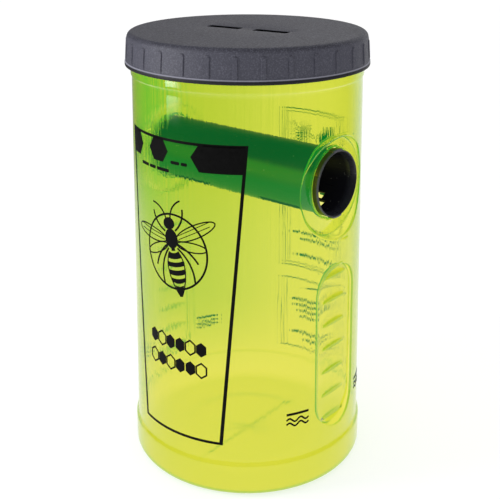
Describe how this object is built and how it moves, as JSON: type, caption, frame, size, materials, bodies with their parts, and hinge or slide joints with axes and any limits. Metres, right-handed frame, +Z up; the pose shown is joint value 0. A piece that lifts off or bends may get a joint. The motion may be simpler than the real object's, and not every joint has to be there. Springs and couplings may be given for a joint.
{
  "type": "wasp trap",
  "caption": "Clear yellow-green cylindrical wasp trap jar with a black tunnel tube running through its sides and a black ribbed screw lid with strap slots.",
  "frame": {"origin": "centre of the base, on the plane that the trap stands on", "axes": "+Z up along the axis of the jar, X along the tunnel through the jar, +Y to the other side"},
  "size_m": [0.1096, 0.1096, 0.195],
  "materials": {
    "clear_yellow_green": "clear tinted, glossy",
    "black_tunnel_plastic": "semi-gloss black",
    "pale_foam": "soft matt foam",
    "black_lid_plastic": "fine-grained matt black-grey"
  },
  "bodies": {
    "jar_body": {"jar": "clear_yellow_green"},
    "tunnel_body": {"tunnel_tube": "black_tunnel_plastic"},
    "seal_body": {"lid_seal_ring": "pale_foam"},
    "lid_body": {"screw_lid": "black_lid_plastic"}
  },
  "joints": [
    {"name": "lid_rise", "type": "slide", "parent": "jar_body", "child": "seal_body", "axis": [0, 0, 1], "range_m": [0, 0.0196]},
    {"name": "lid_turn", "type": "hinge", "parent": "seal_body", "child": "lid_body", "pos_m": [0, 0, 0.185], "axis": [0, 0, 1], "range_deg": [0, 1170]},
    {"name": "tunnel_slide", "type": "slide", "parent": "jar_body", "child": "tunnel_body", "axis": [1, 0, 0], "range_m": [0, 0.105]}
  ],
  "couplings": [
    {"joint": "lid_rise", "follows": "lid_turn", "m_per_rad": 0.00095493}
  ]
}
